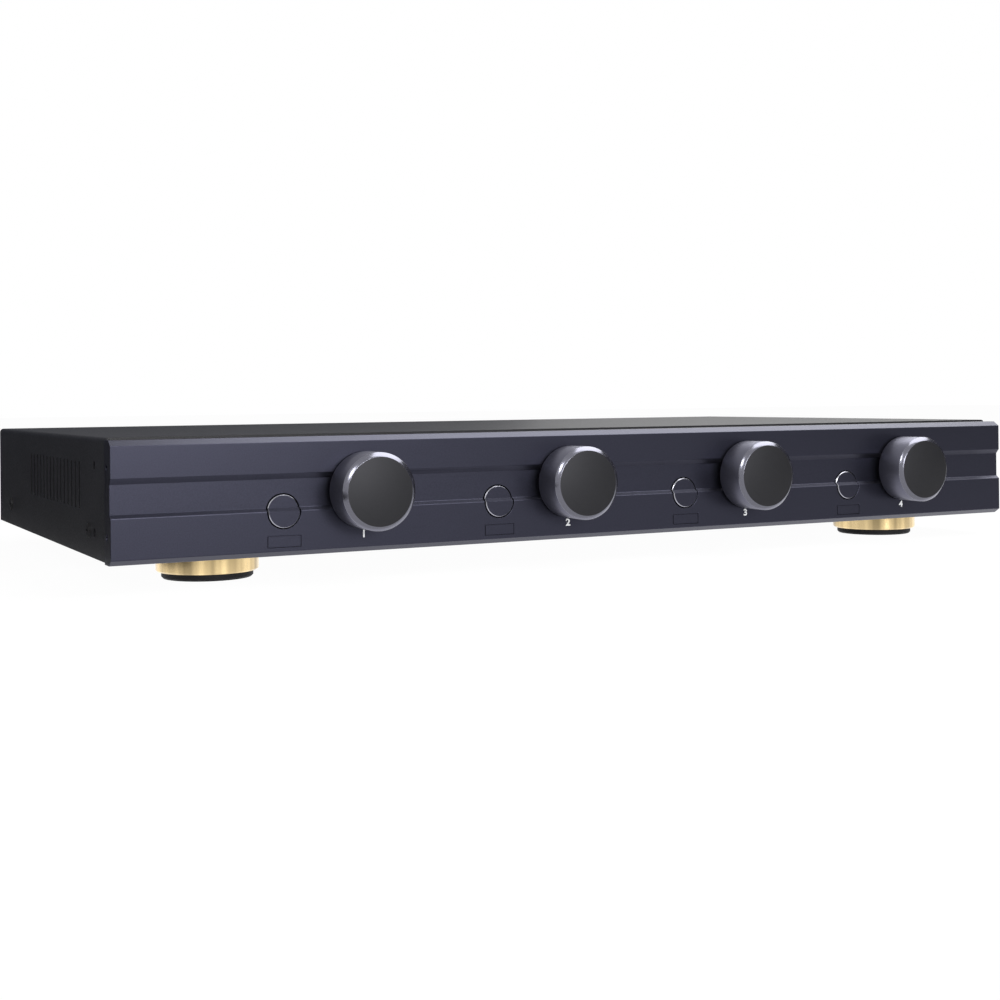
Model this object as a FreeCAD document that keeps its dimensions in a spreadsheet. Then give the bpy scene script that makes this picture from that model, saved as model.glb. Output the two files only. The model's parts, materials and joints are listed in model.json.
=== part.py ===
import FreeCAD, Part
import math
import os
import re

import Sketcher
from FreeCAD import Placement, Rotation, Vector

# Four-zone speaker selector with a volume control for each zone: a flat steel case one rack unit high
# behind an extruded front panel, on four round feet. Each zone has a flush push button that switches its
# speakers and a dial that steps a pair of autotransformers down in volume. Wires go in at the back, in
# screw plugs that pull out of their headers.
#
# X runs along the front panel, to the right as the user sees it. Y runs from the front to the back, and
# Z is up. The origin is in the middle of the space the set takes, on the surface that it stands on.

SIZES = {
    # front panel
    "panel_width": 430.0,
    "panel_height": 44.4,
    "panel_thick": 9.0,
    "bevel_high": 2.0,
    "bevel_deep": 2.9,
    "recess_deep": 1.6,
    "recess_low": 16.8,
    "recess_high": 30.9,
    "recess_slope_low": 1.3,
    "recess_slope_high": 2.0,
    # case
    "body_depth": 234.0,
    "sheet": 1.2,
    "seam": 0.2,
    "bend_radius": 1.8,
    "cover_inset": 0.6,
    "cover_rise": 0.8,
    "cover_lift": 0.5,
    "flange_high": 14.0,
    "ear_flange_deep": 30.0,
    "rear_flange_high": 4.4,
    "rear_lip_deep": 10.0,
    # side vents
    "vent_first": 53.0,
    "vent_pitch": 7.0,
    "vent_wide": 2.4,
    "vent_low": 17.3,
    "vent_high": 35.5,
    # feet
    "foot_height": 10.0,
    "foot_radius": 19.7,
    "foot_wall": 1.9,
    "foot_edge": 0.6,
    "foot_web": 3.4,
    "foot_inset_x": 46.0,
    "foot_inset_y": 38.0,
    "pad_show": 2.7,
    "pad_depth": 5.4,
    "pad_gap": 0.25,
    "pad_bevel": 0.7,
    # zones
    "zone_pitch": 90.2,
    "button_edge": 64.0,
    "dial_offset": 32.2,
    "dial_height": 23.6,
    "button_height": 16.8,
    # dial
    "knob_reach": 15.5,
    "knob_gap": 0.8,
    "knob_radius": 14.75,
    "knob_face_radius": 13.15,
    "knob_bevel": 1.3,
    "knob_wall": 1.7,
    "knob_face_thick": 3.0,
    "knob_hub_radius": 5.0,
    "shaft_radius": 3.0,
    "shaft_flat": 1.0,
    "shaft_gap": 0.05,
    "bushing_radius": 4.5,
    "bushing_long": 6.2,
    "bushing_clear": 0.2,
    "nut_radius": 6.9,
    "nut_thick": 2.4,
    "washer_radius": 7.2,
    "washer_thick": 0.6,
    "panel_bore": 8.0,
    "rotary_radius": 13.0,
    "rotary_deep": 16.0,
    "rotary_wall": 1.8,
    "rotor_radius": 9.5,
    "rotor_thick": 3.0,
    # push button
    "button_radius": 6.15,
    "button_gap": 0.45,
    "button_proud": 0.4,
    "button_long": 9.0,
    "button_travel": 3.0,
    "stem_radius": 2.5,
    "collar_radius": 3.8,
    "collar_thick": 2.0,
    "switch_back": 14.0,
    "switch_wide": 12.0,
    "switch_deep": 22.0,
    "switch_wall": 1.8,
    "spring_wire": 0.5,
    "spring_radius": 2.7,
    "spring_turns": 6.0,
    # label fields below the buttons
    "label_wide": 13.2,
    "label_high": 4.3,
    "label_low": 3.45,
    "label_deep": 0.5,
    "label_gap": 0.3,
    # places of the screws that hold the panel and the board
    "panel_screw_side": 12.0,
    "panel_screw_edge": 6.5,
    "board_screw_side": 5.0,
    "board_screw_front": 38.0,
    "board_screw_rear": 42.0,
    # circuit board
    "board_thick": 1.6,
    "board_lift": 5.0,
    "board_margin": 6.0,
    "standoff_radius": 3.0,
    # autotransformers
    "core_wide": 35.0,
    "core_high": 29.0,
    "core_stack": 15.0,
    "core_leg": 6.0,
    "core_window": 6.4,
    "coil_gap": 0.2,
    "coil_bulge": 5.5,
    "strap_thick": 0.8,
    "strap_wide": 9.0,
    "core_spread": 20.5,
    "core_back": 100.0,
    # speaker wire plugs
    "plug_pitch": 70.0,
    "pole_pitch": 5.08,
    "plug_wide": 20.4,
    "plug_high": 9.8,
    "plug_nose": 8.5,
    "plug_reach": 9.5,
    "header_wall": 1.2,
    "header_gap": 0.2,
    "header_back": 2.4,
    "header_foot": 1.6,
    "header_proud": 0.6,
    "pin_thick": 1.0,
    "pin_reach": 6.5,
    "wire_radius": 1.6,
    "wire_deep": 6.5,
    "clamp_radius": 1.5,
    "clamp_long": 3.4,
    # screws
    "screw_radius": 1.5,
    "screw_clear": 0.05,
    "head_radius": 2.8,
    "head_high": 1.8,
    "cover_head_high": 0.7,
    "foot_screw_radius": 2.0,
    "ear_hole_radius": 1.6,
    "ear_tap_radius": 1.25,
    "ear_tap_deep": 8.0,
    "ear_tap_back": 5.4,
    "ear_hole_back": 27.5,
    "ear_low": 9.9,
    "ear_high": 34.7,
    "cover_screw_front": 36.8,
    "cover_screw_rear": 31.5,
    "cover_screw_high": 10.2,
}

# Places that follow from the sizes above.
PLACES = {
    "front_y": "((knob_reach - body_depth - plug_reach) / 2)",
    "panel_back": "(front_y + panel_thick)",
    "inner_y": "(panel_back + sheet)",
    "rear_y": "(front_y + body_depth)",
    "rear_inner": "(rear_y - sheet)",
    "floor_z": "(foot_height + cover_lift)",
    "floor_top": "(floor_z + sheet)",
    "top_z": "(foot_height + panel_height + cover_rise)",
    "roof_z": "(top_z - sheet - seam - (bend_radius - sheet) / 2)",
    "cover_half": "(panel_width / 2 - cover_inset)",
    "tray_half": "(cover_half - sheet - seam)",
    "board_z": "(floor_top + board_lift)",
    "board_top": "(board_z + board_thick)",
    "board_front": "(inner_y + 3)",
    "board_rear": "(rear_inner - sheet - 2)",
    "board_half": "(tray_half - board_margin)",
    "dial_z": "(foot_height + dial_height)",
    "button_z": "(foot_height + button_height)",
    "knob_front": "(front_y - knob_reach)",
    "knob_long": "(knob_reach - knob_gap)",
    "rotor_y": "(inner_y + rotary_wall + 2)",
    "switch_y": "(inner_y + switch_back)",
    "switch_high": "(button_z + switch_wide / 2 - board_top)",
    "collar_y": "(switch_y + switch_wall)",
    "core_y": "(front_y + core_back)",
    "header_high": "(plug_high + 2 * header_gap + header_wall + header_foot)",
    "header_wide": "(plug_wide + 2 * header_gap + 2 * header_wall)",
    "plug_front": "(rear_y - plug_nose)",
    "plug_z": "(board_top + header_foot + header_gap)",
    "plug_mid": "(plug_z + plug_high / 2)",
    "header_y": "(plug_front - header_gap - header_back)",
}
ZONES = range(4)
VENTS = 15
PLUGS = range(5)
POLES = range(4)
INPUT_PLUG = 4
ROTARY_CONTACTS = 12

doc = FreeCAD.newDocument("speaker_selector")
sheet = doc.addObject("Spreadsheet::Sheet", "Sizes")
for row, (word, number) in enumerate(SIZES.items(), start=1):
    sheet.set(f"A{row}", word)
    sheet.set(f"B{row}", str(number))
    sheet.setAlias(f"B{row}", word)
doc.recompute()

nodes = {}


def bound(text):
    """An expression in the words of SIZES and PLACES, written with the sheet's cells."""
    while any(re.search(rf"\b{word}\b", text) for word in PLACES):
        for word, meaning in PLACES.items():
            text = re.sub(rf"\b{word}\b", meaning, text)
    return re.sub(r"\b[a-z]+(?:_[a-z]+)*\b", lambda m: f"Sizes.{m[0]}" if m[0] in SIZES else m[0], text)


def place(thing, at, turn=None):
    """Puts a thing at three expressions, turned as a rotation says."""
    if turn is not None:
        thing.Placement = Placement(Vector(), turn)
    for axis, text in zip("xyz", at):
        thing.setExpression(f"Placement.Base.{axis}", bound(str(text)))
    return thing


TURNS = {
    "X": Rotation(Vector(0, 1, 0), 90),
    "Y": Rotation(Vector(1, 0, 0), -90),
    "Z": Rotation(),
    "-X": Rotation(Vector(0, 1, 0), -90),
    "-Y": Rotation(Vector(1, 0, 0), 90),
    "-Z": Rotation(Vector(1, 0, 0), 180),
}


def box(name, size, at):
    """A block of that size, from its lowest corner."""
    made = doc.addObject("Part::Box", name)
    for word, text in zip(("Length", "Width", "Height"), size):
        made.setExpression(word, bound(str(text)))
    return place(made, at)


def bar(name, size, middle):
    """A block that is centred on middle in X, with its lowest corner there in Y and Z."""
    return box(name, size, (f"{middle[0]} - ({size[0]}) / 2", middle[1], middle[2]))


def rod(name, radius, length, at, along="Y"):
    """A cylinder that starts at a point and runs along an axis."""
    made = doc.addObject("Part::Cylinder", name)
    made.setExpression("Radius", bound(str(radius)))
    made.setExpression("Height", bound(str(length)))
    return place(made, at, TURNS[along])


def join(name, pieces):
    """One solid made of several that meet."""
    made = doc.addObject("Part::MultiFuse", name)
    made.Shapes = pieces
    return made


def group(name, pieces):
    """Several solids side by side."""
    made = doc.addObject("Part::Compound", name)
    made.Links = pieces
    return made


def cut(name, base, tools):
    """base less all of the tools."""
    made = doc.addObject("Part::Cut", name)
    made.Base = base
    made.Tool = tools[0] if len(tools) == 1 else group(f"{name}_tools", tools)
    return made


def overlap(name, base, tool):
    """What base and tool share."""
    made = doc.addObject("Part::Common", name)
    made.Base = base
    made.Tool = tool
    return made


def rounded(name, base, radius, axis):
    """base with the edges along one axis rounded: all four, or only the top two along Y."""
    doc.recompute()
    made = doc.addObject("Part::Fillet", name)
    made.Base = base
    size = SIZES[radius] if radius in SIZES else radius
    edges = []
    top = base.Shape.BoundBox.ZMax
    for number, edge in enumerate(base.Shape.Edges, start=1):
        run = edge.Vertexes[1].Point - edge.Vertexes[0].Point
        if axis == "top_y" and abs(run.y) > 1e-6 and abs(edge.Vertexes[0].Z - top) < 1e-6:
            edges.append((number, size, size))
        if axis == "x" and abs(run.x) > 1e-6:
            edges.append((number, size, size))
    made.Edges = edges
    return made


def outline(body, name, role, points):
    """A closed sketch of straight lines on one of the body's own planes, each corner at two expressions."""
    sketch = body.newObject("Sketcher::SketchObject", name)
    plane = next(f for f in body.Origin.OriginFeatures if f.Role == role)
    sketch.AttachmentSupport = [(plane, "")]
    sketch.MapMode = "FlatFace"
    count = len(points)
    start = [
        Vector(10 * math.cos(2 * math.pi * i / count), 10 * math.sin(2 * math.pi * i / count), 0)
        for i in range(count)
    ]
    for i in range(count):
        sketch.addGeometry(Part.LineSegment(start[i], start[(i + 1) % count]), False)
    for i in range(count):
        sketch.addConstraint(Sketcher.Constraint("Coincident", i, 2, (i + 1) % count, 1))
    for i, corner in enumerate(points):
        for kind, text, first in zip(("DistanceX", "DistanceY"), corner, (start[i].x, start[i].y)):
            number = sketch.addConstraint(Sketcher.Constraint(kind, -1, 1, i, 1, first))
            sketch.setExpression(f"Constraints[{number}]", bound(str(text)))
    return sketch


def extruded(name, role, points, length, at):
    """A body padded from an outline."""
    body = doc.addObject("PartDesign::Body", name)
    pad = body.newObject("PartDesign::Pad", f"{name}_pad")
    pad.Profile = outline(body, f"{name}_outline", role, points)
    pad.setExpression("Length", bound(str(length)))
    body.Tip = pad
    return place(body, at)


def turned(name, role, points, at):
    """A body turned from half an outline about the sketch's upright axis."""
    body = doc.addObject("PartDesign::Body", name)
    lathe = body.newObject("PartDesign::Revolution", f"{name}_turning")
    sketch = outline(body, f"{name}_outline", role, points)
    lathe.Profile = sketch
    lathe.ReferenceAxis = (sketch, ["V_Axis"])
    lathe.Angle = 360
    body.Tip = lathe
    return place(body, at)


def screw(name, at, along, length, radius="screw_radius", head="head_radius", high="head_high"):
    """A cross-head screw: its head starts at a point and its shank runs on past it along an axis."""
    shank = rod(f"{name}_shank", radius, f"{length} + {high}", at, along)
    top = rod(f"{name}_head", head, high, at, along)
    whole = join(f"{name}_whole", [shank, top])
    wide, thin, deep = f"{head} * 1.2", "0.6", f"{high} * 0.6"
    axis = along[-1]
    blades = []
    for number, (long_way, short_way) in enumerate(((wide, thin), (thin, wide))):
        size = {
            "X": (deep, long_way, short_way),
            "Y": (long_way, deep, short_way),
            "Z": (long_way, short_way, deep),
        }
        corner = [f"{p} - ({s}) / 2" for p, s in zip(at, size[axis])]
        spot = "XYZ".index(axis)
        corner[spot] = at[spot] if along == axis else f"{at[spot]} - ({deep})"
        blades.append(box(f"{name}_drive_{number}", size[axis], corner))
    return cut(name, whole, blades)


def keep(name, thing):
    """Names a finished sub-part."""
    thing.Label = name
    nodes[name] = thing
    return thing


def button_x(zone):
    return f"(button_edge - panel_width / 2 + {zone} * zone_pitch)"


def dial_x(zone):
    return f"(button_edge + dial_offset - panel_width / 2 + {zone} * zone_pitch)"


def plug_x(plug):
    return f"({plug} - 2) * plug_pitch"


def panel_outline(thick, front="0"):
    """The extrusion's section in Y and Z: bevelled along its top and bottom edges, with a shallow
    sloped channel along its middle."""
    return [
        (f"{front} + bevel_deep", "0"),
        (front, "bevel_high"),
        (front, "recess_low"),
        (f"{front} + recess_deep", "recess_low + recess_slope_low"),
        (f"{front} + recess_deep", "recess_high - recess_slope_high"),
        (front, "recess_high"),
        (front, "panel_height - bevel_high"),
        (f"{front} + bevel_deep", "panel_height"),
        (thick, "panel_height"),
        (thick, "0"),
    ]


def panel_screw_spots():
    """Where the panel is screwed on, from behind: between the zones and near both ends."""
    side = "(tray_half - panel_screw_side)"
    across = (f"-{side}", f"({dial_x(1)} + {button_x(2)}) / 2", side)
    levels = ("foot_height + panel_screw_edge", "foot_height + panel_height - panel_screw_edge")
    return [(x, z) for x in across for z in levels]


def front_panel():
    blank = extruded(
        "panel_blank", "YZ_Plane", panel_outline("panel_thick"), "panel_width",
        ("-panel_width / 2", "front_y", "foot_height"),
    )
    tools = []
    for zone in ZONES:
        reach = "panel_thick + 2"
        tools.append(rod(f"panel_button_hole_{zone}", "button_radius + button_gap", reach,
                         (button_x(zone), "front_y - 1", "button_z")))
        tools.append(rod(f"panel_dial_hole_{zone}", "panel_bore", reach,
                         (dial_x(zone), "front_y - 1", "dial_z")))
        tools.append(bar(f"panel_label_field_{zone}", ("label_wide", "label_deep + 1", "label_high"),
                         (button_x(zone), "front_y - 1", "foot_height + label_low")))
    for number, (x, z) in enumerate(panel_screw_spots()):
        tools.append(rod(f"panel_tap_{number}", "screw_radius + screw_clear", "4",
                         (x, "panel_back - 3.6", z)))
    for name, side, along in (("left", "-1", "X"), ("right", "1", "-X")):
        for level in ("ear_low", "ear_high"):
            mouth = (f"{side} * (panel_width / 2 + 1)", "front_y + ear_tap_back", f"foot_height + {level}")
            tools.append(rod(f"panel_{name}_{level}_tap", "ear_tap_radius", "ear_tap_deep + 1", mouth, along))
    keep("front_panel", cut("front_panel", blank, tools))
    plate = ("label_wide - 2 * label_gap", "label_deep - 0.05", "label_high - 2 * label_gap")
    plates = [
        bar(f"label_plate_{zone}", plate,
            (button_x(zone), "front_y + 0.05", "foot_height + label_low + label_gap"))
        for zone in ZONES
    ]
    keep("label_plates", group("label_plates", plates))
    screws = [screw(f"panel_screw_{number}", (x, "inner_y + head_high", z), "-Y", "sheet + 3.2")
              for number, (x, z) in enumerate(panel_screw_spots())]
    keep("panel_screws", group("panel_screws", screws))


def foot_spots():
    return [
        (name, f"{side} * (panel_width / 2 - foot_inset_x)", y)
        for row, y in (("front", "front_y + foot_inset_y"), ("rear", "rear_y - foot_inset_y"))
        for name, side in ((f"{row}_left", "-1"), (f"{row}_right", "1"))
    ]


def cover_screw_spots():
    rows = ("front_y + cover_screw_front", "rear_y - cover_screw_rear")
    return [(side, y) for side in (-1, 1) for y in rows]


def board_screw_spots():
    side = "(board_half - board_screw_side)"
    rows = ("board_front + board_screw_front", "board_rear - board_screw_rear")
    return [(x, y) for x in (f"-{side}", "0", side) for y in rows]


def rear_screw_spots():
    return [f"({number} - 1.5) * plug_pitch * 1.6" for number in range(4)]


def side_holes(name, radius, spots, half):
    """Cylinders right through both sides of the case at places in Y and Z."""
    return [rod(f"{name}_{number}", radius, f"2 * ({half} + 2)", (f"-({half} + 2)", y, z), "X")
            for number, (y, z) in enumerate(spots)]


def case_spots():
    ears = [("front_y + ear_hole_back", f"foot_height + {level}") for level in ("ear_low", "ear_high")]
    screws = [(y, "foot_height + cover_screw_high") for y in
              ("front_y + cover_screw_front", "rear_y - cover_screw_rear")]
    return ears, screws


def base_tray():
    depth = "(rear_inner - panel_back)"
    pieces = [
        box("tray_floor", ("2 * tray_half", depth, "sheet"), ("-tray_half", "panel_back", "floor_z")),
        box("tray_front", ("2 * tray_half", "sheet", "roof_z - floor_z"),
            ("-tray_half", "panel_back", "floor_z")),
        box("tray_rear", ("2 * tray_half", "sheet", "sheet + rear_flange_high"),
            ("-tray_half", "rear_inner - sheet", "floor_z")),
    ]
    for side, x in (("left", "-tray_half"), ("right", "tray_half - sheet")):
        pieces.append(box(f"tray_{side}_flange", ("sheet", depth, "sheet + flange_high"),
                          (x, "panel_back", "floor_z")))
        pieces.append(box(f"tray_{side}_ear", ("sheet", "ear_flange_deep", "roof_z - floor_z"),
                          (x, "panel_back", "floor_z")))
    tools = []
    for zone in ZONES:
        tools.append(rod(f"tray_button_hole_{zone}", "button_radius + 2 * button_gap", "sheet + 2",
                         (button_x(zone), "panel_back - 1", "button_z")))
        tools.append(rod(f"tray_dial_hole_{zone}", "bushing_radius + bushing_clear", "sheet + 2",
                         (dial_x(zone), "panel_back - 1", "dial_z")))
    for number, (x, z) in enumerate(panel_screw_spots()):
        tools.append(rod(f"tray_panel_hole_{number}", "screw_radius + screw_clear", "sheet + 2",
                         (x, "panel_back - 1", z)))
    for name, x, y in foot_spots():
        tools.append(rod(f"tray_foot_hole_{name}", "foot_screw_radius + screw_clear", "sheet + 2",
                         (x, y, "floor_z - 1"), "Z"))
    ears, screws = case_spots()
    tools += side_holes("tray_ear_hole", "ear_hole_radius", ears, "cover_half")
    tools += side_holes("tray_cover_hole", "screw_radius + screw_clear", screws, "cover_half")
    for number, x in enumerate(rear_screw_spots()):
        tools.append(rod(f"tray_rear_hole_{number}", "screw_radius + screw_clear", "sheet + 2",
                         (x, "rear_inner - sheet - 1", "floor_top + rear_flange_high / 2")))
    for number, (x, y) in enumerate(board_screw_spots()):
        tools.append(rod(f"tray_standoff_hole_{number}", "screw_radius + screw_clear", "sheet + 2",
                         (x, y, "floor_z - 1"), "Z"))
    keep("base_tray", cut("base_tray", join("tray_blank", pieces), tools))


def top_cover():
    depth = "(rear_y - panel_back)"
    high = "top_z - floor_z"
    block = box("cover_block", ("2 * cover_half", depth, high), ("-cover_half", "panel_back", "floor_z"))
    void = box("cover_void", ("2 * (cover_half - sheet)", f"{depth} + 2", high),
               ("-(cover_half - sheet)", "panel_back - 1", "floor_z - sheet"))
    outer = rounded("cover_outer", block, "bend_radius", "top_y")
    tools = [rounded("cover_inner", void, SIZES["bend_radius"] - SIZES["sheet"], "top_y")]
    for number in range(VENTS):
        slot = box(f"vent_{number}", ("2 * (cover_half + 2)", "vent_wide", "vent_high - vent_low"),
                   ("-(cover_half + 2)", f"front_y + vent_first + {number} * vent_pitch - vent_wide / 2",
                    "foot_height + vent_low"))
        tools.append(rounded(f"vent_round_{number}", slot, SIZES["vent_wide"] / 2 - 0.02, "x"))
    ears, screws = case_spots()
    tools += side_holes("cover_ear_hole", "ear_hole_radius", ears, "cover_half")
    tools += side_holes("cover_screw_hole", "screw_radius + screw_clear", screws, "cover_half")
    keep("top_cover", cut("top_cover", outer, tools))
    made = []
    for number, (side, y) in enumerate(cover_screw_spots()):
        along = "X" if side < 0 else "-X"
        spot = (f"{side} * (cover_half + cover_head_high)", y, "foot_height + cover_screw_high")
        made.append(screw(f"cover_screw_{number}", spot, along, "2 * sheet + 3", high="cover_head_high"))
    keep("cover_screws", group("cover_screws", made))


def rear_panel():
    plate = box("rear_plate", ("2 * tray_half", "sheet", "roof_z - floor_top"),
                ("-tray_half", "rear_inner", "floor_top"))
    lip = box("rear_lip", ("2 * tray_half", "rear_lip_deep", "sheet"),
              ("-tray_half", "rear_inner - rear_lip_deep + 0.5", "roof_z - sheet"))
    tools = []
    for plug in PLUGS:
        tools.append(bar(f"rear_window_{plug}", ("header_wide + 2 * header_gap", "sheet + 2",
                                                 "header_high + 2 * header_gap"),
                         (plug_x(plug), "rear_inner - 1", "board_top - header_gap")))
    for number, x in enumerate(rear_screw_spots()):
        tools.append(rod(f"rear_hole_{number}", "screw_radius + screw_clear", "sheet + 2",
                         (x, "rear_inner - 1", "floor_top + rear_flange_high / 2")))
    keep("rear_panel", cut("rear_panel", join("rear_blank", [plate, lip]), tools))
    made = [screw(f"rear_screw_{number}", (x, "rear_y + head_high", "floor_top + rear_flange_high / 2"), "-Y",
                  "2 * sheet + 3", head="rear_flange_high / 2")
            for number, x in enumerate(rear_screw_spots())]
    keep("rear_screws", group("rear_screws", made))


def feet():
    """Four round feet: a plated ring with a web across it, and a rubber pad let into it from below."""
    ring = [
        ("foot_screw_radius + screw_clear", "floor_z - foot_web"),
        ("foot_radius - foot_wall", "floor_z - foot_web"),
        ("foot_radius - foot_wall", "pad_show"),
        ("foot_radius - foot_edge", "pad_show"),
        ("foot_radius", "pad_show + foot_edge"),
        ("foot_radius", "floor_z - foot_edge / 2"),
        ("foot_radius - foot_edge / 2", "floor_z"),
        ("foot_screw_radius + screw_clear", "floor_z"),
    ]
    pad_radius = "foot_radius - foot_wall - pad_gap"
    pad = [
        ("head_radius * 1.6", "0"),
        (f"{pad_radius} - pad_bevel", "0"),
        (pad_radius, "pad_bevel"),
        (pad_radius, "pad_depth"),
        ("head_radius * 1.6", "pad_depth"),
    ]
    pads, screws = [], []
    for name, x, y in foot_spots():
        keep(f"foot_ring_{name}", turned(f"foot_ring_{name}", "XZ_Plane", ring, (x, y, "0")))
        pads.append(turned(f"foot_pad_{name}", "XZ_Plane", pad, (x, y, "0")))
        screws.append(screw(f"foot_screw_{name}", (x, y, "floor_z - foot_web - head_high"), "Z",
                            "foot_web + sheet + 2.5", "foot_screw_radius", "head_radius * 1.3"))
    keep("foot_pads", group("foot_pads", pads))
    keep("foot_screws", group("foot_screws", screws))


def knob(zone):
    """A turned dial: flat face, bright bevel, plain side, hollow behind round a hub with a D bore."""
    bore = "shaft_radius + shaft_gap"
    section = [
        ("0", "0"),
        ("knob_face_radius", "0"),
        ("knob_radius", "knob_bevel"),
        ("knob_radius", "knob_long"),
        ("knob_radius - knob_wall", "knob_long"),
        ("knob_radius - knob_wall", "knob_face_thick"),
        ("knob_hub_radius", "knob_face_thick"),
        ("knob_hub_radius", "knob_long - 1"),
        (bore, "knob_long - 1"),
        (bore, "knob_face_thick"),
        ("0", "knob_face_thick"),
    ]
    shell = turned(f"knob_shell_{zone}", "XY_Plane", section, (dial_x(zone), "knob_front", "dial_z"))
    plug = rod(f"knob_key_rod_{zone}", f"{bore} + 0.3", "knob_long - 1 - knob_face_thick",
               (dial_x(zone), "knob_front + knob_face_thick", "dial_z"))
    half = bar(f"knob_key_block_{zone}", ("2 * knob_hub_radius", "knob_long", "knob_hub_radius"),
               (dial_x(zone), "knob_front", "dial_z + shaft_radius - shaft_flat + shaft_gap"))
    key = overlap(f"knob_key_{zone}", plug, half)
    keep(f"volume_knob_{zone + 1}", join(f"volume_knob_{zone + 1}", [shell, key]))


def rotary_switch(zone):
    """The stepped switch behind a dial: a drum with a threaded bushing, and the shaft with its rotor."""
    x, axis = dial_x(zone), "dial_z"
    drum = rod(f"rotary_drum_{zone}", "rotary_radius", "rotary_deep", (x, "inner_y", axis))
    bushing = rod(f"rotary_bushing_{zone}", "bushing_radius", "bushing_long + 1",
                  (x, "inner_y - bushing_long", axis))
    hollow = rod(f"rotary_hollow_{zone}", "rotary_radius - rotary_wall", "rotary_deep - 2 * rotary_wall",
                 (x, "inner_y + rotary_wall", axis))
    bore = rod(f"rotary_bore_{zone}", "shaft_radius + shaft_gap", "bushing_long + rotary_wall + 2",
               (x, "inner_y - bushing_long - 1", axis))
    solid = [drum, bushing]
    for number in range(ROTARY_CONTACTS):
        turn = 2 * math.pi * number / ROTARY_CONTACTS
        solid.append(rod(f"rotary_contact_{zone}_{number}", "0.6", "3.5",
                         (f"{x} + {math.cos(turn):.4f} * (rotary_radius - 3)", "inner_y + rotary_deep - 0.5",
                          f"{axis} + {math.sin(turn):.4f} * (rotary_radius - 3)")))
    keep(f"rotary_switch_{zone + 1}",
         cut(f"rotary_switch_{zone + 1}", join(f"rotary_blank_{zone}", solid), [hollow, bore]))
    start = "(knob_front + knob_face_thick + 0.4)"
    spindle = rod(f"spindle_{zone}", "shaft_radius", f"rotor_y + rotor_thick - {start}", (x, start, axis))
    flat = bar(f"spindle_flat_{zone}",
               ("4 * shaft_radius", f"front_y - knob_gap - 1 - {start}", "shaft_radius"),
               (x, start, f"{axis} + shaft_radius - shaft_flat"))
    rotor = rod(f"rotor_disc_{zone}", "rotor_radius", "rotor_thick", (x, "rotor_y", axis))
    wiper = bar(f"rotor_wiper_{zone}", ("2.4", "1.2", "rotor_radius - 1"),
                (x, "rotor_y + rotor_thick - 0.2", axis))
    keep(f"volume_shaft_{zone + 1}",
         join(f"volume_shaft_{zone + 1}", [cut(f"spindle_cut_{zone}", spindle, [flat]), rotor, wiper]))


def bushing_fasteners():
    """A washer and a hexagon nut on each bushing, hidden in the panel's bore behind the dial."""
    washers, nuts = [], []
    for zone in ZONES:
        x = dial_x(zone)
        disc = rod(f"washer_disc_{zone}", "washer_radius", "washer_thick",
                   (x, "panel_back - washer_thick", "dial_z"))
        hole = rod(f"washer_hole_{zone}", "bushing_radius + screw_clear", "washer_thick + 2",
                   (x, "panel_back - washer_thick - 1", "dial_z"))
        washers.append(cut(f"washer_{zone}", disc, [hole]))
        hexagon = doc.addObject("Part::Prism", f"nut_hexagon_{zone}")
        hexagon.Polygon = 6
        hexagon.setExpression("Circumradius", bound("nut_radius"))
        hexagon.setExpression("Height", bound("nut_thick"))
        place(hexagon, (x, "panel_back - washer_thick - nut_thick", "dial_z"), TURNS["Y"])
        thread = rod(f"nut_thread_{zone}", "bushing_radius + screw_clear", "nut_thick + 2",
                     (x, "panel_back - washer_thick - nut_thick - 1", "dial_z"))
        nuts.append(cut(f"nut_{zone}", hexagon, [thread]))
    keep("bushing_washers", group("bushing_washers", washers))
    keep("bushing_nuts", group("bushing_nuts", nuts))


def push_buttons():
    """Flush round buttons whose faces carry the panel's channel across them, each on its own switch."""
    face_bar = extruded(
        "button_face_bar", "YZ_Plane", panel_outline("button_long", "-button_proud"), "panel_width",
        ("-panel_width / 2", "front_y", "foot_height"),
    )
    for zone in ZONES:
        x = button_x(zone)
        blank = rod(f"button_blank_{zone}", "button_radius", "button_long + button_proud + 2",
                    (x, "front_y - button_proud - 1", "button_z"))
        cap = overlap(f"button_cap_{zone}", blank, face_bar)
        stem = rod(f"button_stem_{zone}", "stem_radius", "collar_y + 1 - front_y - button_long + 1",
                   (x, "front_y + button_long - 1", "button_z"))
        collar = rod(f"button_collar_{zone}", "collar_radius", "collar_thick", (x, "collar_y", "button_z"))
        keep(f"zone_button_{zone + 1}", join(f"zone_button_{zone + 1}", [cap, stem, collar]))
        block = bar(f"switch_block_{zone}", ("switch_wide", "switch_deep", "switch_high"),
                    (x, "switch_y", "board_top"))
        chamber = rod(f"switch_chamber_{zone}", "collar_radius + 0.3", "switch_deep - 2 * switch_wall",
                      (x, "collar_y", "button_z"))
        mouth = rod(f"switch_mouth_{zone}", "stem_radius + 0.1", "switch_wall + 2",
                    (x, "switch_y - 1", "button_z"))
        keep(f"push_switch_{zone + 1}", cut(f"push_switch_{zone + 1}", block, [chamber, mouth]))


def tangent_arc(start, corner, end):
    """The arc from start to end whose tangents there meet at the corner, which is as far from both."""
    middle = (start + end) * 0.5
    half = (end - start).Length / 2
    rise = (corner - middle).Length
    bow = half * math.tan(math.atan2(rise, half) / 2)
    return Part.Arc(start, middle + (corner - middle) * (bow / rise), end).toShape()


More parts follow.
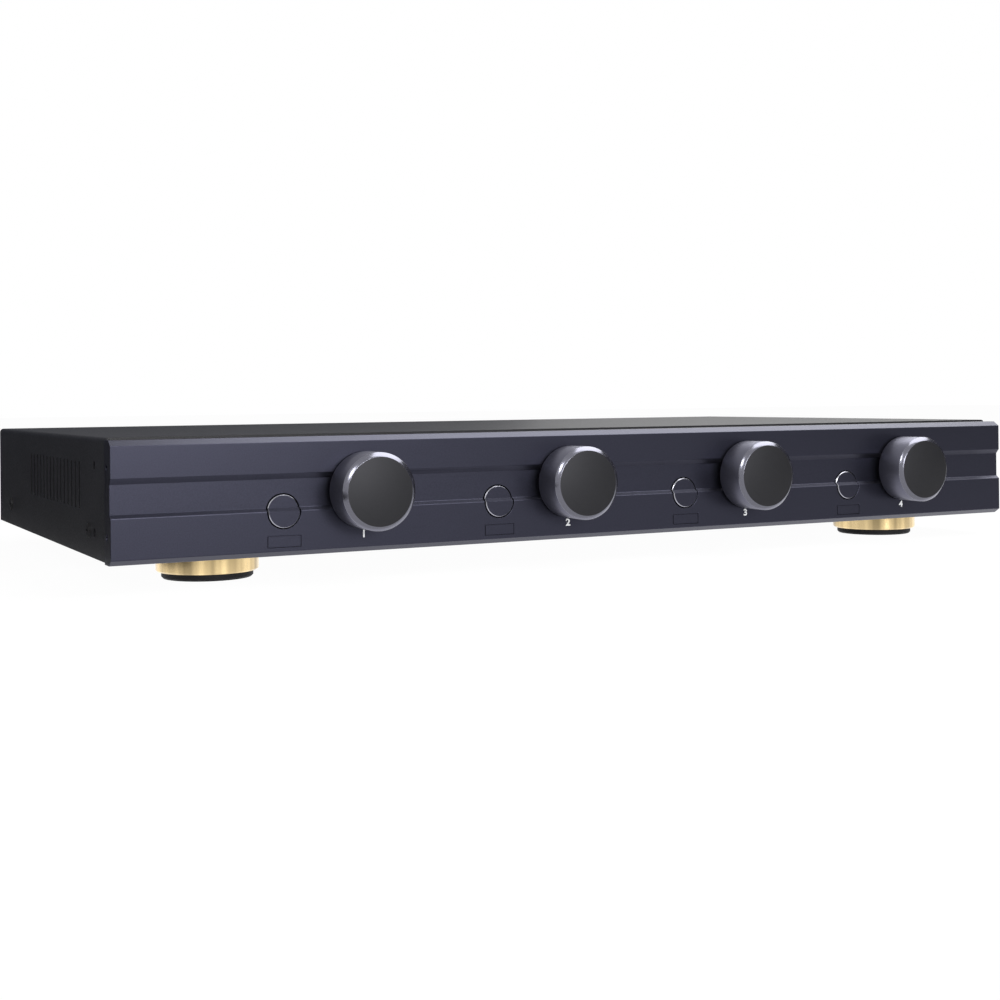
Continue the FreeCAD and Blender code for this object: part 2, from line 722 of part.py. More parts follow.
def helix_wire(radius, height, turns):
    """A helix up Z as tangent arcs, two to each quarter turn, with its first point and direction."""
    steps = round(4 * turns)
    angles = [2 * math.pi * turns * i / steps for i in range(steps + 1)]
    climb = height / (2 * math.pi * turns)
    points = [Vector(radius * math.cos(a), radius * math.sin(a), climb * a) for a in angles]
    ways = [Vector(-radius * math.sin(a), radius * math.cos(a), climb).normalize() for a in angles]
    edges = []
    for i in range(steps):
        chord, bend = points[i + 1] - points[i], ways[i] + ways[i + 1]
        square = 2 * (1 - ways[i].dot(ways[i + 1]))
        linear = chord.dot(bend)
        reach = (math.sqrt(4 * linear**2 + 4 * square * chord.dot(chord)) - 2 * linear) / (2 * square)
        corners = (points[i] + ways[i] * reach, points[i + 1] - ways[i + 1] * reach)
        joint = (corners[0] + corners[1]) * 0.5
        edges.append(tangent_arc(points[i], corners[0], joint))
        edges.append(tangent_arc(joint, corners[1], points[i + 1]))
    return Part.Wire(edges), points[0], ways[0]


def coil_spring(zone):
    """The button's return spring, between the stem's collar and the back of its chamber."""
    size = {word: sheet.get(word) for word in SIZES}
    front = (size["knob_reach"] - size["body_depth"] - size["plug_reach"]) / 2
    collar = front + size["panel_thick"] + size["sheet"] + size["switch_back"] + size["switch_wall"]
    start = collar + size["collar_thick"] + size["spring_wire"]
    end = collar + size["switch_deep"] - 2 * size["switch_wall"] - size["spring_wire"]
    wire, first, way = helix_wire(size["spring_radius"], end - start, size["spring_turns"])
    section = Part.Wire([Part.makeCircle(size["spring_wire"] / 2, first, way)])
    made = doc.addObject("Part::Feature", f"button_spring_{zone + 1}")
    made.Shape = wire.makePipeShell([section], True, False)
    x = size["button_edge"] - size["panel_width"] / 2 + zone * size["zone_pitch"]
    made.Placement = Placement(Vector(x, start, size["foot_height"] + size["button_height"]), TURNS["Y"])
    keep(f"button_spring_{zone + 1}", made)


def circuit_board():
    plate = box("board_plate", ("2 * board_half", "board_rear - board_front", "board_thick"),
                ("-board_half", "board_front", "board_z"))
    holes, posts, screws = [], [], []
    for number, (x, y) in enumerate(board_screw_spots()):
        holes.append(rod(f"board_hole_{number}", "screw_radius + screw_clear", "board_thick + 2",
                         (x, y, "board_z - 1"), "Z"))
        post = rod(f"standoff_post_{number}", "standoff_radius", "board_lift", (x, y, "floor_top"), "Z")
        thread = rod(f"standoff_thread_{number}", "screw_radius + screw_clear", "board_lift + 2",
                     (x, y, "floor_top - 1"), "Z")
        posts.append(cut(f"standoff_{number}", post, [thread]))
        spot = (x, y, "board_top + head_high")
        screws.append(screw(f"board_screw_{number}", spot, "-Z", "board_thick + 4"))
    keep("main_board", cut("main_board", plate, holes))
    keep("board_standoffs", group("board_standoffs", posts))
    keep("board_screws", group("board_screws", screws))


def transformers():
    """Eight autotransformers, a left and a right one for each zone: a stacked core, its coil round the
    middle leg, and a steel strap over it."""
    cores, coils, straps = [], [], []
    leg = "(core_wide - 2 * core_leg - 2 * core_window)"
    window_high = "(core_high - 2 * core_leg)"
    for zone in ZONES:
        for side in (-1, 1):
            x = f"({button_x(zone)} + dial_offset / 2 + {side} * core_spread)"
            tag = f"{zone}_{'left' if side < 0 else 'right'}"
            y = "core_y - core_stack / 2"
            block = bar(f"core_block_{tag}", ("core_wide", "core_stack", "core_high"), (x, y, "board_top"))
            windows = [
                bar(f"core_window_{tag}_{way}", ("core_window", "core_stack + 2", window_high),
                    (f"{x} + {way} * ({leg} + core_window) / 2", f"{y} - 1", "board_top + core_leg"))
                for way in (-1, 1)
            ]
            cores.append(cut(f"core_{tag}", block, windows))
            turns = (f"{leg} + 2 * core_window - 2 * coil_gap", "core_stack + 2 * coil_bulge",
                     f"{window_high} - 2 * coil_gap")
            outer = bar(f"coil_outer_{tag}", turns,
                        (x, f"{y} - coil_bulge", "board_top + core_leg + coil_gap"))
            former = (f"{leg} + 2 * coil_gap", "core_stack + 2 * coil_gap", window_high)
            inner = bar(f"coil_inner_{tag}", former, (x, f"{y} - coil_gap", "board_top + core_leg"))
            coils.append(cut(f"coil_{tag}", outer, [inner]))
            arch = ("core_wide + 2 * coil_gap + 2 * strap_thick", "strap_wide",
                    "core_high + coil_gap + strap_thick")
            hoop = bar(f"strap_hoop_{tag}", arch, (x, "core_y - strap_wide / 2", "board_top"))
            feet_plate = bar(f"strap_feet_{tag}", ("core_wide + 5", "strap_wide", "strap_thick"),
                             (x, "core_y - strap_wide / 2", "board_top"))
            space = ("core_wide + 2 * coil_gap", "strap_wide + 2", "core_high + coil_gap + 1")
            room = bar(f"strap_room_{tag}", space, (x, "core_y - strap_wide / 2 - 1", "board_top - 1"))
            straps.append(cut(f"strap_{tag}", join(f"strap_blank_{tag}", [hoop, feet_plate]), [room]))
    keep("transformer_cores", group("transformer_cores", cores))
    keep("transformer_coils", group("transformer_coils", coils))
    keep("transformer_straps", group("transformer_straps", straps))


def pole_x(plug, pole):
    return f"({plug_x(plug)} + ({pole} - 1.5) * pole_pitch)"


def wire_plugs():
    """A four-pole header on the board behind each window, and the screw plug that pushes into it."""
    headers, pins = [], []
    for plug in PLUGS:
        x = plug_x(plug)
        shroud = bar(f"header_block_{plug}",
                     ("header_wide", "rear_y + header_proud - header_y", "header_high"),
                     (x, "header_y", "board_top"))
        socket = bar(f"header_socket_{plug}", ("plug_wide + 2 * header_gap", "plug_nose + 5",
                                               "plug_high + 2 * header_gap"),
                     (x, "plug_front - header_gap", "board_top + header_foot"))
        slots = []
        for pole in POLES:
            along = pole_x(plug, pole)
            slots.append(bar(f"header_pin_hole_{plug}_{pole}", ("pin_thick", "header_back + 2", "pin_thick"),
                             (along, "header_y - 1", "plug_mid - pin_thick / 2")))
            post = bar(f"pin_post_{plug}_{pole}", ("pin_thick", "header_back + header_gap + pin_reach + 1.5",
                                                   "pin_thick"),
                       (along, "header_y - 1.5", "plug_mid - pin_thick / 2"))
            leg = bar(f"pin_leg_{plug}_{pole}",
                      ("pin_thick", "pin_thick", "plug_mid + pin_thick / 2 - board_top"),
                      (along, "header_y - 1.5", "board_top"))
            pins.append(join(f"pin_{plug}_{pole}", [post, leg]))
        headers.append(cut(f"header_{plug}", shroud, [socket, *slots]))
        name = "input_plug" if plug == INPUT_PLUG else f"output_plug_{plug + 1}"
        body = bar(f"{name}_block", ("plug_wide", "plug_nose + plug_reach", "plug_high"),
                   (x, "plug_front", "plug_z"))
        tools, clamps = [], []
        for pole in POLES:
            along = pole_x(plug, pole)
            tools.append(rod(f"{name}_contact_{pole}", "pin_thick * 0.8", "pin_reach + 1.5",
                             (along, "plug_front - 1", "plug_mid")))
            tools.append(rod(f"{name}_wire_hole_{pole}", "wire_radius", "wire_deep + 1",
                             (along, "rear_y + plug_reach - wire_deep", "plug_mid - 0.6")))
            tools.append(rod(f"{name}_clamp_hole_{pole}", "clamp_radius + screw_clear", "clamp_long + 2",
                             (along, "rear_y + plug_reach / 2 + 1", "plug_z + plug_high - clamp_long"), "Z"))
            spot = (along, "rear_y + plug_reach / 2 + 1", "plug_z + plug_high - 0.4")
            shank = rod(f"{name}_clamp_{pole}", "clamp_radius", "clamp_long - 0.5", spot, "-Z")
            blade = box(f"{name}_blade_{pole}", ("2.4", "0.5", "1"),
                        (f"{along} - 1.2", "rear_y + plug_reach / 2 + 0.75", "plug_z + plug_high - 1"))
            clamps.append(cut(f"{name}_screw_{pole}", shank, [blade]))
        keep(name, cut(name, body, tools))
        keep(f"{name}_screws", group(f"{name}_screws", clamps))
    keep("terminal_headers", group("terminal_headers", headers))
    keep("terminal_pins", group("terminal_pins", pins))


front_panel()
base_tray()
top_cover()
rear_panel()
feet()
for zone in ZONES:
    knob(zone)
    rotary_switch(zone)
    coil_spring(zone)
bushing_fasteners()
push_buttons()
circuit_board()
transformers()
wire_plugs()
doc.recompute()

failed = [thing.Name for thing in doc.Objects if {"Invalid", "Error"} & set(thing.State)]
if failed:
    raise RuntimeError(f"these objects failed: {failed}")
for name, thing in nodes.items():
    if thing.Shape.isNull() or not thing.Shape.isValid() or not thing.Shape.Solids:
        raise RuntimeError(f"{name} has no valid shape")
os.makedirs("parts", exist_ok=True)
for name, thing in nodes.items():
    thing.Shape.exportStep(f"parts/{name}.step")
print(f"{len(nodes)} sub-parts written")
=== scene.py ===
import json
import math

import bmesh
import bpy
from mathutils import Matrix, Vector


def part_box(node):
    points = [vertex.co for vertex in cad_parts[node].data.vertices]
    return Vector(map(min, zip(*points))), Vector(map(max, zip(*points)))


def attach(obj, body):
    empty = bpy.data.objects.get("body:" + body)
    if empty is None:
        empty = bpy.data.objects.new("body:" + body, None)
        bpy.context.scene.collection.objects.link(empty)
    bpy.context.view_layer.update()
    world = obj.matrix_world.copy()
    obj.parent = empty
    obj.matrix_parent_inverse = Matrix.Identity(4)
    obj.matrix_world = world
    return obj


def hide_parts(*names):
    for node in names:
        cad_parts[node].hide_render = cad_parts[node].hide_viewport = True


# The speaker selector as it looks: a finish for every part of the frame, turned dials and buttons in place of
# the plain ones, printed numerals, and a white studio seen from the left of the front.
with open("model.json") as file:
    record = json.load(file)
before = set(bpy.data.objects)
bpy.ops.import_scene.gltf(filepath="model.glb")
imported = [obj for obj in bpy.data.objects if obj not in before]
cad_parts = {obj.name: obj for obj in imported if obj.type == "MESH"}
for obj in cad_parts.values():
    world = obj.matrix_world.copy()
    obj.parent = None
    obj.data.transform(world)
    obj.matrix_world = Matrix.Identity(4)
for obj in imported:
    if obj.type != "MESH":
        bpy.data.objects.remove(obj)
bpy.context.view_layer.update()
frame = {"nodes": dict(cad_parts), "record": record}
nodes = frame["nodes"]
ZONES = range(1, 5)
CORNERS = ("front_left", "front_right", "rear_left", "rear_right")
MM = 0.001
TOUCHING = 0.002 * MM
LATHE_LINE = 0.06 * MM


# Places, read from the frame
panel_low, panel_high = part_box("front_panel")
front = panel_low.y


def middle(node):
    """The middle of a node's box."""
    low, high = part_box(node)
    return (low + high) / 2


def round_part(node):
    """The front end of a round node's axis, the node's radius and its length."""
    low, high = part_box(node)
    centre = Vector(((low.x + high.x) / 2, low.y, (low.z + high.z) / 2))
    return centre, (high.x - low.x) / 2, high.y - low.y


# Camera, where the photograph was taken from: just above the top, to the left of the front
CAMERA_FROM_PANEL_CORNER = Vector((-0.119283, -0.517134, 0.058242))
CAMERA_YAW = math.radians(27.933)
CAMERA_PITCH = math.radians(-0.214)
CAMERA_ROLL = math.radians(-0.523)
CAMERA_LENS_MM = 52.71
CAMERA_SENSOR_MM = 36.0
CAMERA_SHIFT_Y = -0.1079


def make_camera():
    """The camera, turned by its yaw, pitch and roll from a level look along Y."""
    data = bpy.data.cameras.new("camera")
    data.lens = CAMERA_LENS_MM
    data.sensor_width = CAMERA_SENSOR_MM
    data.shift_y = CAMERA_SHIFT_Y
    data.clip_start = 0.01
    data.clip_end = 20.0
    ahead = Vector((math.sin(CAMERA_YAW) * math.cos(CAMERA_PITCH),
                    math.cos(CAMERA_YAW) * math.cos(CAMERA_PITCH), -math.sin(CAMERA_PITCH)))
    level_right = Vector((math.cos(CAMERA_YAW), -math.sin(CAMERA_YAW), 0.0))
    level_up = level_right.cross(ahead)
    right = level_right * math.cos(CAMERA_ROLL) + level_up * math.sin(CAMERA_ROLL)
    up = level_up * math.cos(CAMERA_ROLL) - level_right * math.sin(CAMERA_ROLL)
    camera = bpy.data.objects.new("camera", data)
    camera.matrix_world = (Matrix.Translation(panel_low + CAMERA_FROM_PANEL_CORNER)
                           @ Matrix((right, up, -ahead)).transposed().to_4x4())
    bpy.context.scene.collection.objects.link(camera)
    bpy.context.scene.camera = camera


# Materials


class Finish:
    """A node material for one finish: a shader, with patterns wired into it."""

    def __init__(self, name, colour, metal=0.0, rough=0.5, **sockets):
        self.material = bpy.data.materials.new(name)
        self.material.use_nodes = True
        self.tree = self.material.node_tree
        self.shader = self.tree.nodes["Principled BSDF"]
        self.colour = (*colour, 1.0)
        self.shader.inputs["Base Color"].default_value = self.colour
        self.shader.inputs["Metallic"].default_value = metal
        self.shader.inputs["Roughness"].default_value = rough
        for socket, value in sockets.items():
            self.shader.inputs[socket.replace("_", " ")].default_value = value
        self.rough = rough
        self.place = self.add("ShaderNodeTexCoord").outputs["Object"]

    def add(self, kind, **values):
        node = self.tree.nodes.new(kind)
        for word, value in values.items():
            setattr(node, word, value)
        return node

    def link(self, source, target):
        self.tree.links.new(source, target)

    def mapped(self, scale=(1, 1, 1), centre=(0, 0, 0)):
        """Object coordinates measured from centre and scaled."""
        node = self.add("ShaderNodeMapping")
        node.inputs["Scale"].default_value = scale
        node.inputs["Location"].default_value = [-c * s for c, s in zip(centre, scale)]
        self.link(self.place, node.inputs["Vector"])
        return node.outputs["Vector"]

    def noise(self, size, stretch=(1, 1, 1), detail=4.0, vector=None):
        """Noise with blotches about size metres across, longer along an axis where stretch is above 1."""
        node = self.add("ShaderNodeTexNoise")
        node.inputs["Scale"].default_value = 1.0
        node.inputs["Detail"].default_value = detail
        if vector is None:
            vector = self.mapped([1.0 / (size * s) for s in stretch])
        self.link(vector, node.inputs["Vector"])
        return node.outputs["Fac"]

    def ranged(self, fac, low, high, start=0.3, end=0.7):
        """fac, stretched from start..end to low..high."""
        node = self.add("ShaderNodeMapRange")
        node.inputs["From Min"].default_value = start
        node.inputs["From Max"].default_value = end
        node.inputs["To Min"].default_value = low
        node.inputs["To Max"].default_value = high
        self.link(fac, node.inputs["Value"])
        return node.outputs["Result"]

    def tinted(self, fac, darker=0.85, lighter=1.15, start=0.3, end=0.7):
        """Base colour that varies in brightness with fac."""
        ramp = self.add("ShaderNodeValToRGB")
        ends = ramp.color_ramp.elements
        ends[0].position, ends[1].position = start, end
        ends[0].color = (*[c * darker for c in self.colour[:3]], 1.0)
        ends[1].color = (*[min(1.0, c * lighter) for c in self.colour[:3]], 1.0)
        self.link(fac, ramp.inputs["Fac"])
        self.link(ramp.outputs["Color"], self.shader.inputs["Base Color"])
        return self

    def roughened(self, fac, spread=0.06):
        """Roughness that varies with fac."""
        varied = self.ranged(fac, self.rough - spread, self.rough + spread)
        self.link(varied, self.shader.inputs["Roughness"])
        return self

    def bumped(self, fac, height, strength=0.5):
        """A bump of that height in metres."""
        node = self.add("ShaderNodeBump")
        node.inputs["Strength"].default_value = strength
        node.inputs["Distance"].default_value = height
        self.link(fac, node.inputs["Height"])
        self.link(node.outputs["Normal"], self.shader.inputs["Normal"])
        return self

    def polar(self, centre, axis):
        """Distance from a line through centre along an axis, and the angle round it in radians."""
        here = self.mapped(centre=centre)
        parts = self.add("ShaderNodeSeparateXYZ")
        self.link(here, parts.inputs[0])
        across, up = [name for name in "XYZ" if name != axis]
        total = self.add("ShaderNodeMath", operation="ADD")
        for name, term in zip((across, up), total.inputs):
            square = self.add("ShaderNodeMath", operation="MULTIPLY")
            self.link(parts.outputs[name], square.inputs[0])
            self.link(parts.outputs[name], square.inputs[1])
            self.link(square.outputs[0], term)
        root = self.add("ShaderNodeMath", operation="SQRT")
        self.link(total.outputs[0], root.inputs[0])
        angle = self.add("ShaderNodeMath", operation="ARCTAN2")
        self.link(parts.outputs[up], angle.inputs[0])
        self.link(parts.outputs[across], angle.inputs[1])
        return root.outputs[0], angle.outputs[0]

    def spun(self, centre, axis, streaks):
        """Fine turning rings round an axis, and streaks that fan out from it, as one pattern."""
        radius, angle = self.polar(centre, axis)
        ring = self.add("ShaderNodeMath", operation="DIVIDE")
        ring.inputs[1].default_value = LATHE_LINE
        self.link(radius, ring.inputs[0])
        fan = self.add("ShaderNodeMath", operation="MULTIPLY")
        fan.inputs[1].default_value = streaks
        self.link(angle, fan.inputs[0])
        both = self.add("ShaderNodeCombineXYZ")
        self.link(ring.outputs[0], both.inputs["X"])
        self.link(fan.outputs[0], both.inputs["Y"])
        return self.noise(1.0, detail=2.0, vector=both.outputs[0])


def anodised(name):
    """Aluminium, bead blasted and brushed along the panel, then anodised dark."""
    made = Finish(name, (0.0295, 0.03, 0.0445), metal=0.92, rough=0.33)
    lines = made.noise(0.00025, stretch=(60, 1, 1), detail=2.0)
    grain = made.noise(0.0005, detail=4.0)
    made.tinted(grain, 0.9, 1.12).roughened(lines, 0.03).bumped(grain, 0.00002, 0.3)
    return made.material


def bright_cut(name):
    """A diamond-cut edge, bare and bright."""
    made = Finish(name, (0.36, 0.36, 0.4), metal=1.0, rough=0.28)
    lines = made.noise(0.0003, detail=2.0)
    made.tinted(lines, 0.93, 1.04).roughened(lines, 0.04)
    return made.material


def powder_coat(name):
    """Black powder coat with its fine orange-peel texture."""
    made = Finish(name, (0.009, 0.009, 0.0108), rough=0.45, Specular_IOR_Level=0.3)
    grain = made.noise(0.0006, detail=3.0)
    made.tinted(made.noise(0.02), 0.85, 1.2).roughened(grain, 0.06).bumped(grain, 0.00005, 0.45)
    return made.material


def turned_metal(name, centre, axis, colour, rough, streaks=0.0, contrast=(0.88, 1.1)):
    """Metal turned on a lathe round one axis."""
    made = Finish(name, colour, metal=0.95, rough=rough)
    rings = made.spun(centre, axis, streaks)
    made.tinted(rings, *contrast).roughened(rings, 0.05).bumped(rings, 0.00001, 0.3)
    return made.material


def spun_brass(name, centre):
    """A plated foot ring: turned in fine hoops, with soft upright bands of light and dark painted into its
    colour as painted reflection.
    """
    made = Finish(name, (0.68, 0.52, 0.27), metal=1.0, rough=0.22)
    # Painted reflection: broad upright bands round the ring, lighter and darker in the base colour, stand in
    # for what the polished ring reflects.
    angle = made.polar(centre, "Z")[1]
    wide = made.add("ShaderNodeMath", operation="MULTIPLY")
    wide.inputs[1].default_value = 2.4
    made.link(angle, wide.inputs[0])
    around = made.add("ShaderNodeCombineXYZ")
    made.link(wide.outputs[0], around.inputs["X"])
    painted_reflection_bands = made.noise(1.0, detail=2.0, vector=around.outputs[0])
    hoops = made.noise(0.00012, stretch=(200, 200, 1), detail=2.0)
    made.tinted(painted_reflection_bands, 0.45, 1.15, 0.38, 0.6).roughened(painted_reflection_bands, 0.06).bumped(hoops, 0.00001, 0.2)
    return made.material


def moulded(name, colour, rough=0.5, sheen=0.5):
    """Moulded plastic or rubber with a faint spark-eroded texture."""
    made = Finish(name, colour, rough=rough, Specular_IOR_Level=sheen)
    grain = made.noise(0.0004, detail=3.0)
    made.tinted(made.noise(0.01), 0.85, 1.15).roughened(grain, 0.07).bumped(grain, 0.00003, 0.35)
    return made.material


def plated(name, colour, rough=0.3):
    """Plated or bare steel with a faint cloudy film."""
    made = Finish(name, colour, metal=1.0, rough=rough)
    film = made.noise(0.004, detail=5.0)
    made.tinted(film, 0.88, 1.06).roughened(film, 0.08)
    return made.material


def laminated(name):
    """A stack of dark steel laminations, seen as fine lines across its thickness."""
    made = Finish(name, (0.09, 0.09, 0.1), metal=0.7, rough=0.45)
    sheets = made.add("ShaderNodeTexWave", bands_direction="Y")
    sheets.inputs["Scale"].default_value = 400.0
    made.link(made.place, sheets.inputs["Vector"])
    made.tinted(sheets.outputs["Fac"], 0.6, 1.3, 0.0, 1.0).bumped(sheets.outputs["Fac"], 0.0001)
    return made.material


def wound(name):
    """Enamelled copper wire in close turns."""
    made = Finish(name, (0.5, 0.17, 0.05), metal=0.8, rough=0.3)
    turns = made.add("ShaderNodeTexWave", bands_direction="Z")
    turns.inputs["Scale"].default_value = 700.0
    made.link(made.place, turns.inputs["Vector"])
    made.tinted(turns.outputs["Fac"], 0.5, 1.3, 0.0, 1.0).bumped(turns.outputs["Fac"], 0.0002)
    return made.material


def solder_mask(name):
    """A green circuit board with a weave that just shows through."""
    made = Finish(name, (0.012, 0.12, 0.045), rough=0.35)
    weave = made.noise(0.0008, stretch=(4, 1, 1))
    made.tinted(made.noise(0.012), 0.8, 1.2).bumped(weave, 0.00002)
    return made.material


def ink(name):
    """White printing ink, slightly uneven."""
    made = Finish(name, (0.86, 0.87, 0.88), rough=0.55)
    made.tinted(made.noise(0.0004), 0.95, 1.04)
    return made.material


def slot_materials():
    """One material for each of the record's slots."""
    return {
        "panel_anodised": anodised("panel_anodised"),
        "case_paint": powder_coat("case_paint"),
        "dial_metal": plated("dial_metal", (0.07, 0.07, 0.075), 0.35),
        "button_metal": anodised("button_metal"),
        "shaft_steel": plated("shaft_steel", (0.55, 0.55, 0.56)),
        "foot_brass": plated("foot_brass", (0.75, 0.55, 0.25), 0.25),
        "foot_rubber": moulded("foot_rubber", (0.01, 0.01, 0.011), 0.6, 0.15),
        "switch_plastic": moulded("switch_plastic", (0.02, 0.02, 0.022)),
        "spring_steel": plated("spring_steel", (0.6, 0.6, 0.6), 0.25),
        "nut_brass": plated("nut_brass", (0.72, 0.55, 0.25)),
        "zinc_steel": plated("zinc_steel", (0.6, 0.6, 0.62)),
        "black_screw": plated("black_screw", (0.05, 0.05, 0.052), 0.4),
        "board": solder_mask("board"),
        "core_steel": laminated("core_steel"),
        "coil_copper": wound("coil_copper"),
        "terminal_plastic": moulded("terminal_plastic", (0.015, 0.016, 0.017), 0.35),
        "pin_tin": plated("pin_tin", (0.7, 0.7, 0.7)),
    }


def give(thing, *materials):
    thing.data.materials.clear()
    for material in materials:
        thing.data.materials.append(material)


def new_object(name, mesh, *materials):
    """A new object at the frame's origin, made from a bmesh."""
    data = bpy.data.meshes.new(name)
    mesh.to_mesh(data)
    mesh.free()
    made = bpy.data.objects.new(name, data)
    bpy.context.scene.collection.objects.link(made)
    for material in materials:
        data.materials.append(material)
    return made


def piece(name, mesh, body, slot, *materials):
    """A new object that rides on a body. slot is the record's, or None for printing; it is not used."""
    made = new_object(name, mesh, *materials)
    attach(made, body)
    return made


PANEL_EDGE_ROUND = 0.18 * MM


def soften(node, width, angle):
    """Rounds a node's edges where they turn by more than an angle in degrees, so that they catch the light."""
    thing = nodes[node]
    weld = thing.modifiers.new("weld", "WELD")
    weld.merge_threshold = TOUCHING
    bevel = thing.modifiers.new("edges", "BEVEL")
    bevel.width = width
    bevel.segments = 2
    bevel.limit_method = "ANGLE"
    bevel.angle_limit = math.radians(angle)
    bevel.use_clamp_overlap = False


def lathe(profile, centre, segments=128):
    """A closed solid of revolution about a line along Y through centre. profile is (distance from the
    line, distance behind centre) from the front of the axis to the back of it."""
    mesh = bmesh.new()
    line = [mesh.verts.new(centre + Vector((r, y, 0.0))) for r, y in profile]
    edges = [mesh.edges.new(pair) for pair in zip(line, line[1:])]
    bmesh.ops.spin(mesh, geom=line + edges, cent=centre, axis=Vector((0, 1, 0)), dvec=Vector(),
                   angle=math.tau, steps=segments, use_merge=True)
    bmesh.ops.remove_doubles(mesh, verts=mesh.verts, dist=TOUCHING)
    bmesh.ops.recalc_face_normals(mesh, faces=mesh.faces)
    return mesh


def radius_of(vertex, centre):
    """A vertex's distance from a line along Y through centre."""
    return math.hypot(vertex.co.x - centre.x, vertex.co.z - centre.z)


def in_cut_band(part, centre, inner, deep):
    """Whether a face lies wholly outside a radius, and no further behind centre than deep."""
    reach = min(radius_of(v, centre) for v in part.verts)
    return reach > inner and max(v.co.y for v in part.verts) - centre.y < deep


def split_edges(made, angle):
    """Keeps a smoothly shaded object's edges sharp where they turn by more than an angle in degrees."""
    edges = made.modifiers.new("edges", "EDGE_SPLIT")
    edges.split_angle = math.radians(angle)


# The dials: satin turned metal with a bright ring cut round the face
RING_INNER = 13.15 * MM
RING_DEEP = 1.3 * MM
FINE = 0.12 * MM
DIAL_WALL = 1.7 * MM
DIAL_FACE = 3.0 * MM
DIAL_HUB = 5.0 * MM
DIAL_BORE = 3.05 * MM
HUB_SHORT = 1.0 * MM


def dress_dial(zone):
    """A dial turned in one piece round its hollow: a dark face, a bright cut ring and a satin side, whose
    colour is lightened as painted light.
    """
    node = f"volume_knob_{zone}"
    centre, radius, long = round_part(node)
    hub_end = long - HUB_SHORT
    profile = [
        (0.0, 0.0),
        (RING_INNER - FINE, 0.0),
        (RING_INNER, FINE / 3),
        (radius - FINE, RING_DEEP - FINE / 2),
        (radius, RING_DEEP + FINE),
        (radius, long - 3 * FINE),
        (radius - 3 * FINE, long),
        (radius - DIAL_WALL, long),
        (radius - DIAL_WALL, DIAL_FACE),
        (DIAL_HUB, DIAL_FACE),
        (DIAL_HUB, hub_end),
        (DIAL_BORE, hub_end),
        (DIAL_BORE, DIAL_FACE),
        (0.0, DIAL_FACE),
    ]
    mesh = lathe(profile, centre)
    for part in mesh.faces:
        part.smooth = True
        if in_cut_band(part, centre, RING_INNER - 2 * FINE, RING_DEEP + 2 * FINE):
            part.material_index = 1
        elif min(radius_of(v, centre) for v in part.verts) > radius - FINE / 2:
            part.material_index = 2
    skin = turned_metal(f"dial_skin_{zone}", centre, "Y", (0.03, 0.03, 0.033), 0.5, streaks=1.5)
    ring = turned_metal(f"dial_ring_{zone}", centre, "Y", (0.15, 0.15, 0.18), 0.2, contrast=(0.95, 1.05))
    # Painted light: the side is a satin copy of the face's metal, made much lighter in colour so that it looks
    # lit from the left.
    side = turned_metal(f"dial_side_painted_light_{zone}", centre, "Y", (0.11, 0.11, 0.14), 0.42, contrast=(0.95, 1.05))
    made = piece(f"dial_{zone}", mesh, f"dial_{zone}", "dial_metal", skin, ring, side)
    split_edges(made, 35)
    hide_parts(node)


# The buttons: their faces carry the panel's channel across them, inside a bright rim
BUTTON_RIM = 0.28 * MM
CHANNEL_LOW = 16.8 * MM
CHANNEL_SLOPE = 1.3 * MM
CHANNEL_DEEP = 1.6 * MM
CAP_LONG = 9.4 * MM
STEM_RADIUS = 2.5 * MM
COLLAR_RADIUS = 3.8 * MM
COLLAR_LONG = 2.0 * MM


def channel_depth(height):
    """How far the channel is let in at a height above the panel's bottom edge."""
    return min(1.0, max(0.0, (height - CHANNEL_LOW) / CHANNEL_SLOPE)) * CHANNEL_DEEP


def dress_button(zone, rim):
    """A button turned with its stem and collar, whose front then follows the panel's channel."""
    node = f"zone_button_{zone}"
    centre, radius, long = round_part(node)
    collar_at = long - COLLAR_LONG
    profile = [
        (0.0, 0.0),
        (radius - BUTTON_RIM, 0.0),
        (radius, BUTTON_RIM),
        (radius, CAP_LONG),
        (STEM_RADIUS, CAP_LONG),
        (STEM_RADIUS, collar_at),
        (COLLAR_RADIUS, collar_at),
        (COLLAR_RADIUS, long),
        (0.0, long),
    ]
    mesh = lathe(profile, centre)
    for height in (CHANNEL_LOW, CHANNEL_LOW + CHANNEL_SLOPE):
        level = Vector((centre.x, centre.y, panel_low.z + height))
        everything = mesh.verts[:] + mesh.edges[:] + mesh.faces[:]
        bmesh.ops.bisect_plane(mesh, geom=everything, dist=TOUCHING / 2, plane_co=level, plane_no=(0, 0, 1))
    for part in mesh.faces:
        flat = max(v.co.y for v in part.verts) < centre.y + FINE
        part.smooth = not flat
        if in_cut_band(part, centre, radius - BUTTON_RIM - FINE / 4, BUTTON_RIM + FINE):
            part.material_index = 1
    for vertex in mesh.verts:
        if vertex.co.y < centre.y + BUTTON_RIM + FINE:
            vertex.co.y += channel_depth(vertex.co.z - panel_low.z)
    made = piece(f"button_{zone}", mesh, f"button_{zone}", "button_metal", materials["button_metal"], rim)
    split_edges(made, 25)
    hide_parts(node)


# Numerals under the dials
NUMERAL_HIGH = 2.7 * MM
NUMERAL_BOLD = 0.11 * MM
NUMERAL_WIDER = 1.12
NUMERAL_LEFT = 0.5 * MM
NUMERAL_ABOVE_BOTTOM = 7.0 * MM
NUMERAL_THICK = 0.03 * MM
CAPITAL_SHARE = 0.7  # a capital's height as a share of the type's size


